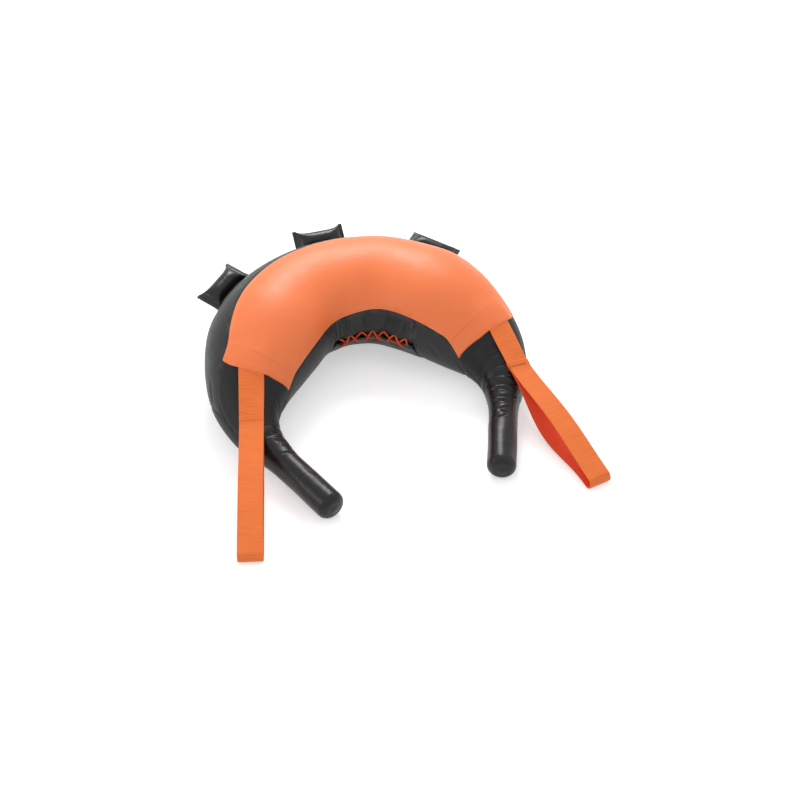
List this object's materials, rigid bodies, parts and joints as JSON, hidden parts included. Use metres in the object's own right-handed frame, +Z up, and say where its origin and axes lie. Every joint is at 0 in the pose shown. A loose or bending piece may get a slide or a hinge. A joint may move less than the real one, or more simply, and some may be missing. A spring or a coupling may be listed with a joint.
{
  "type": "bulgarian bag",
  "caption": "Crescent-shaped weighted training bag with two stuffed grips, padded side handles and webbing strap loops, lying on its back.",
  "frame": {"origin": "the middle of the bag's box, on the floor that the back rests on", "axes": "+Z up out of the floor through the front panel, -Y towards the tips of the grips, +X towards the right strap as seen from the grips' tips"},
  "size_m": [0.6946, 0.7502, 0.206],
  "materials": {
    "front_vinyl": "matte black vinyl with a fine grain",
    "gusset_vinyl": "matte dark grey vinyl, creased at the seams",
    "panel_vinyl": "smooth orange vinyl with a soft sheen",
    "grip_vinyl": "glossy brown-black vinyl, wrinkled at the neck",
    "handle_vinyl": "glossy black vinyl, stretched smooth over foam",
    "webbing": "orange woven webbing with fine cross ribs",
    "lace_cord": "orange braided cord",
    "sand_bag": "plain woven inner bag filled with sand and textile flock",
    "stuffing": "pale foam and textile stuffing"
  },
  "bodies": {
    "root": {"front_cover": "front_vinyl", "back_cover": "front_vinyl", "outer_gusset": "gusset_vinyl", "inner_gusset_left": "gusset_vinyl", "inner_gusset_right": "gusset_vinyl", "lace_flap_upper": "gusset_vinyl", "lace_flap_lower": "gusset_vinyl", "front_panel": "panel_vinyl", "lace_tongue": "front_vinyl", "lacing": "lace_cord", "sand_filler_left": "sand_bag", "sand_filler_centre": "sand_bag", "sand_filler_right": "sand_bag", "strap_root_left": "webbing", "strap_root_right": "webbing"},
    "grip_left": {"grip_sleeve_left": "grip_vinyl", "grip_core_left": "stuffing", "grip_cap_left": "grip_vinyl"},
    "grip_right": {"grip_sleeve_right": "grip_vinyl", "grip_core_right": "stuffing", "grip_cap_right": "grip_vinyl"},
    "strap_tab_left": {"strap_tab_left": "webbing"},
    "strap_tab_right": {"strap_tab_right": "webbing"},
    "strap_loop_left": {"strap_loop_left": "webbing"},
    "strap_loop_right": {"strap_loop_right": "webbing"},
    "handle_left": {"handle_sleeve_left": "handle_vinyl", "handle_core_left": "stuffing"},
    "handle_middle": {"handle_sleeve_middle": "handle_vinyl", "handle_core_middle": "stuffing"},
    "handle_right": {"handle_sleeve_right": "handle_vinyl", "handle_core_right": "stuffing"}
  },
  "joints": [
    {"name": "grip_left_flex", "type": "hinge", "parent": "root", "child": "grip_left", "pos_m": [-0.23216, -0.11712, 0.03516], "axis": [0, 0, 1], "range_deg": [-12, 12]},
    {"name": "grip_right_flex", "type": "hinge", "parent": "root", "child": "grip_right", "pos_m": [0.23368, -0.11712, 0.03516], "axis": [0, 0, 1], "range_deg": [-12, 12]},
    {"name": "strap_left_lift", "type": "hinge", "parent": "root", "child": "strap_tab_left", "pos_m": [-0.23476, -0.02074, 0.13268], "axis": [-0.9472, 0.2512, 0.1991], "range_deg": [0, 75]},
    {"name": "strap_left_flex", "type": "hinge", "parent": "strap_tab_left", "child": "strap_loop_left", "pos_m": [-0.25504, -0.09503, 0.08659], "axis": [-0.9646, 0.2585, -0.0523], "range_deg": [0, 90]},
    {"name": "strap_right_lift", "type": "hinge", "parent": "root", "child": "strap_tab_right", "pos_m": [0.25872, -0.02655, 0.12638], "axis": [-0.9739, -0.1839, 0.1329], "range_deg": [0, 75]},
    {"name": "strap_right_flex", "type": "hinge", "parent": "strap_tab_right", "child": "strap_loop_right", "pos_m": [0.27146, -0.09435, 0.0831], "axis": [-0.9721, -0.189, 0.1392], "range_deg": [0, 90]},
    {"name": "handle_left_flap", "type": "hinge", "parent": "root", "child": "handle_left", "pos_m": [-0.20187, 0.25243, 0.11913], "axis": [0.7395, 0.6504, 0.1737], "range_deg": [-49, 40]},
    {"name": "handle_middle_flap", "type": "hinge", "parent": "root", "child": "handle_middle", "pos_m": [0.00076, 0.33015, 0.11913], "axis": [1, 0, 0], "range_deg": [-80, 20]},
    {"name": "handle_right_flap", "type": "hinge", "parent": "root", "child": "handle_right", "pos_m": [0.20233, 0.25333, 0.11913], "axis": [0.7418, -0.6477, -0.1737], "range_deg": [-38, 50]}
  ]
}
